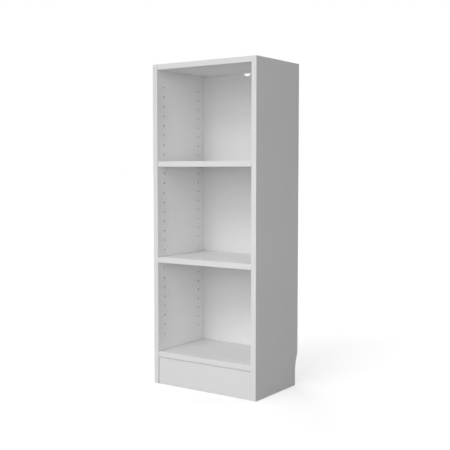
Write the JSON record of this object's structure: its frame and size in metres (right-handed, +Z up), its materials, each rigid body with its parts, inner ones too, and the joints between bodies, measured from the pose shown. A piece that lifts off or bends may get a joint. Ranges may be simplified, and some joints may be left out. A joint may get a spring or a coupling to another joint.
{
  "type": "bookcase",
  "caption": "Narrow open bookcase in white faced board, with removable shelves on hidden wires, drilled side panels, a plinth and a skirting notch.",
  "frame": {"origin": "on the floor, in the middle of the width and of the depth", "axes": "+Z up, +X towards the right-hand side as seen from the open front, +Y towards the wall, so the open front faces -Y"},
  "size_m": [0.408, 0.264, 1.071],
  "materials": {
    "faced_board": "white melamine-faced board, fine satin texture, edges banded in the same white",
    "hardboard_back": "hardboard, white lacquered front, plain rear",
    "plated_steel": "zinc plated",
    "cast_cam": "die-cast zinc, matt",
    "beech_dowel": "plain beech",
    "cap_plastic": "white moulded polyethylene, fine matt grain"
  },
  "bodies": {
    "carcass": {"left_side_panel": "faced_board", "right_side_panel": "faced_board", "top_panel": "faced_board", "bottom_panel": "faced_board", "plinth_board": "faced_board", "back_panel": "hardboard_back", "upper_shelf_wire_left": "plated_steel", "upper_shelf_wire_right": "plated_steel", "lower_shelf_wire_left": "plated_steel", "lower_shelf_wire_right": "plated_steel", "top_bolt_left_front": "plated_steel", "top_bolt_left_rear": "plated_steel", "top_bolt_right_front": "plated_steel", "top_bolt_right_rear": "plated_steel", "bottom_bolt_left_front": "plated_steel", "bottom_bolt_left_rear": "plated_steel", "bottom_bolt_right_front": "plated_steel", "bottom_bolt_right_rear": "plated_steel", "top_cam_left_front": "cast_cam", "top_cam_left_rear": "cast_cam", "top_cam_right_front": "cast_cam", "top_cam_right_rear": "cast_cam", "bottom_cam_left_front": "cast_cam", "bottom_cam_left_rear": "cast_cam", "bottom_cam_right_front": "cast_cam", "bottom_cam_right_rear": "cast_cam", "top_cam_cap_left_front": "cap_plastic", "top_cam_cap_left_rear": "cap_plastic", "top_cam_cap_right_front": "cap_plastic", "top_cam_cap_right_rear": "cap_plastic", "top_dowel_left_front": "beech_dowel", "top_dowel_left_rear": "beech_dowel", "top_dowel_right_front": "beech_dowel", "top_dowel_right_rear": "beech_dowel", "bottom_dowel_left_front": "beech_dowel", "bottom_dowel_left_rear": "beech_dowel", "bottom_dowel_right_front": "beech_dowel", "bottom_dowel_right_rear": "beech_dowel", "plinth_dowel_left_low": "beech_dowel", "plinth_dowel_left_high": "beech_dowel", "plinth_dowel_right_low": "beech_dowel", "plinth_dowel_right_high": "beech_dowel", "back_nail_left_1": "plated_steel", "back_nail_left_2": "plated_steel", "back_nail_left_3": "plated_steel", "back_nail_left_4": "plated_steel", "back_nail_left_5": "plated_steel", "back_nail_right_1": "plated_steel", "back_nail_right_2": "plated_steel", "back_nail_right_3": "plated_steel", "back_nail_right_4": "plated_steel", "back_nail_right_5": "plated_steel", "back_nail_top_left": "plated_steel", "back_nail_top_right": "plated_steel", "back_nail_bottom_left": "plated_steel", "back_nail_bottom_right": "plated_steel"},
    "upper_shelf": {"upper_shelf": "faced_board"},
    "lower_shelf": {"lower_shelf": "faced_board"}
  },
  "joints": [
    {"name": "upper_shelf_slide", "type": "slide", "parent": "carcass", "child": "upper_shelf", "axis": [0, -1, 0], "range_m": [0, 0.27]},
    {"name": "lower_shelf_slide", "type": "slide", "parent": "carcass", "child": "lower_shelf", "axis": [0, -1, 0], "range_m": [0, 0.27]}
  ]
}
